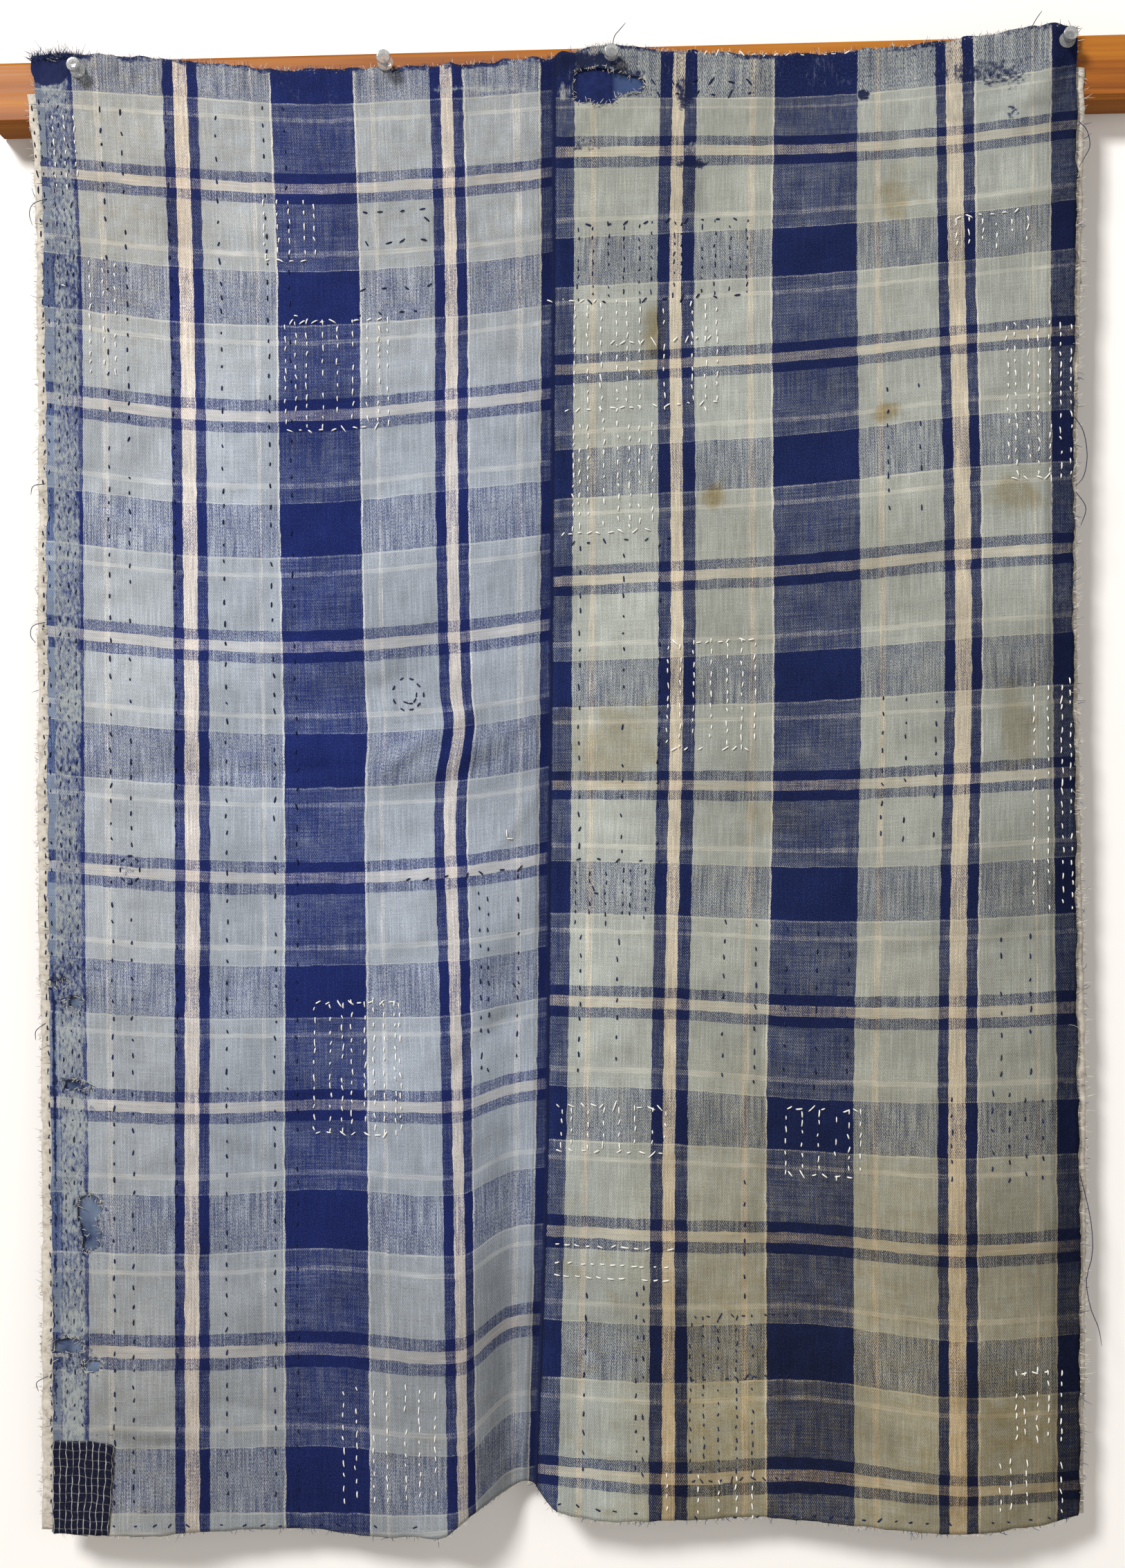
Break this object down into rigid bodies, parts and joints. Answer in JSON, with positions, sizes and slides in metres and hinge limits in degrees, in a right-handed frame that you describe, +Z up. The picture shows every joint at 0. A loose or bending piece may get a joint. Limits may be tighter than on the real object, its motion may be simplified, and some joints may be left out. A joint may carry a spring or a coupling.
{
  "type": "boro patched cloth on a wooden wall rail",
  "caption": "Worn plaid cotton cloth of seamed narrow panels, mended with running stitches and patches, pinned by its top hem to a plain wooden wall rail.",
  "frame": {"origin": "middle of the rail's flat back face, which lies on the wall", "axes": "+Z up, +Y into the wall, so the cloth's face looks along -Y, and +X to the right of someone facing the cloth"},
  "size_m": [0.74, 0.0393, 0.9475],
  "materials": {
    "plaid_blue": "matte handwoven indigo plaid cotton twill, faded blue",
    "plaid_grey": "matte handwoven indigo plaid cotton twill, faded grey with brown stains",
    "cream_cotton": "matte plain-weave undyed cotton, frayed",
    "indigo_cotton": "matte plain-weave indigo cotton",
    "check_cotton": "matte dark plain-weave cotton with fine white checks",
    "oiled_wood": "satin, planed and oiled softwood",
    "clear_plastic": "clear moulded plastic on a steel needle"
  },
  "bodies": {
    "root": {"rail": "oiled_wood", "left_panel": "plaid_blue", "right_panel": "plaid_grey", "left_facing": "cream_cotton", "right_facing": "cream_cotton", "edge_mend": "indigo_cotton", "hem_patch": "indigo_cotton", "check_patch": "check_cotton", "pin_1": "clear_plastic", "pin_2": "clear_plastic", "pin_3": "clear_plastic", "pin_4": "clear_plastic"}
  },
  "joints": []
}
